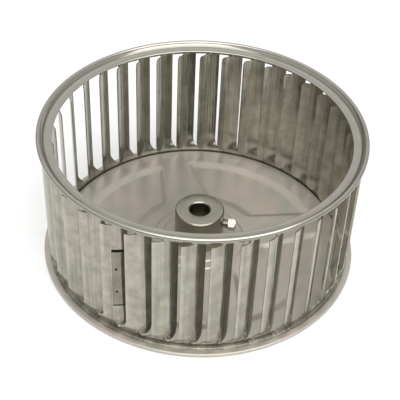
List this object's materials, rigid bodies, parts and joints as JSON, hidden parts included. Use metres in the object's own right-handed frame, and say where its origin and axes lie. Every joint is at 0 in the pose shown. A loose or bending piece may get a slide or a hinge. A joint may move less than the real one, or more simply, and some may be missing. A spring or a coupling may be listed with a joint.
{
  "type": "single-inlet forward-curved blower wheel",
  "caption": "Galvanised steel centrifugal blower wheel: lanced blade strip between a rolled inlet rim and a pressed back plate, with a bored hub and set screw.",
  "frame": {"origin": "on the wheel's axis, in the plane of the face it stands on", "axes": "+Z along the axis from the back plate to the open inlet; +X to the right in the picture, near the set screw's side"},
  "size_m": [0.2444, 0.2444, 0.1125],
  "materials": {
    "galvanised_strip": "hot-dip galvanised sheet, mottled satin",
    "galvanised_rim": "galvanised sheet, rolled bright",
    "galvanised_plate": "galvanised sheet, drawn, satin",
    "turned_steel": "turned mild steel, lightly oiled",
    "zinc_plated_screw": "zinc-plated steel"
  },
  "bodies": {
    "wheel": {"inlet_rim": "galvanised_rim", "upper_border_band": "galvanised_strip", "lower_border_band": "galvanised_strip", "blade_01": "galvanised_strip", "blade_02": "galvanised_strip", "blade_03": "galvanised_strip", "blade_04": "galvanised_strip", "blade_05": "galvanised_strip", "blade_06": "galvanised_strip", "blade_07": "galvanised_strip", "blade_08": "galvanised_strip", "blade_09": "galvanised_strip", "blade_10": "galvanised_strip", "blade_11": "galvanised_strip", "blade_12": "galvanised_strip", "blade_13": "galvanised_strip", "blade_14": "galvanised_strip", "blade_15": "galvanised_strip", "blade_16": "galvanised_strip", "blade_17": "galvanised_strip", "blade_18": "galvanised_strip", "blade_19": "galvanised_strip", "blade_20": "galvanised_strip", "blade_21": "galvanised_strip", "blade_22": "galvanised_strip", "blade_23": "galvanised_strip", "blade_24": "galvanised_strip", "blade_25": "galvanised_strip", "blade_26": "galvanised_strip", "blade_27": "galvanised_strip", "blade_28": "galvanised_strip", "blade_29": "galvanised_strip", "blade_30": "galvanised_strip", "blade_31": "galvanised_strip", "blade_32": "galvanised_strip", "blade_33": "galvanised_strip", "blade_34": "galvanised_strip", "blade_35": "galvanised_strip", "blade_36": "galvanised_strip", "blade_37": "galvanised_strip", "blade_38": "galvanised_strip", "lap_joint_tab": "galvanised_strip", "back_plate": "galvanised_plate", "hub": "turned_steel"},
    "set_screw": {"set_screw": "zinc_plated_screw"}
  },
  "joints": [
    {"name": "set_screw_travel", "type": "slide", "parent": "wheel", "child": "set_screw", "axis": [0.9962, -0.0872, 0], "range_m": [-0.0034, 0.006]}
  ]
}
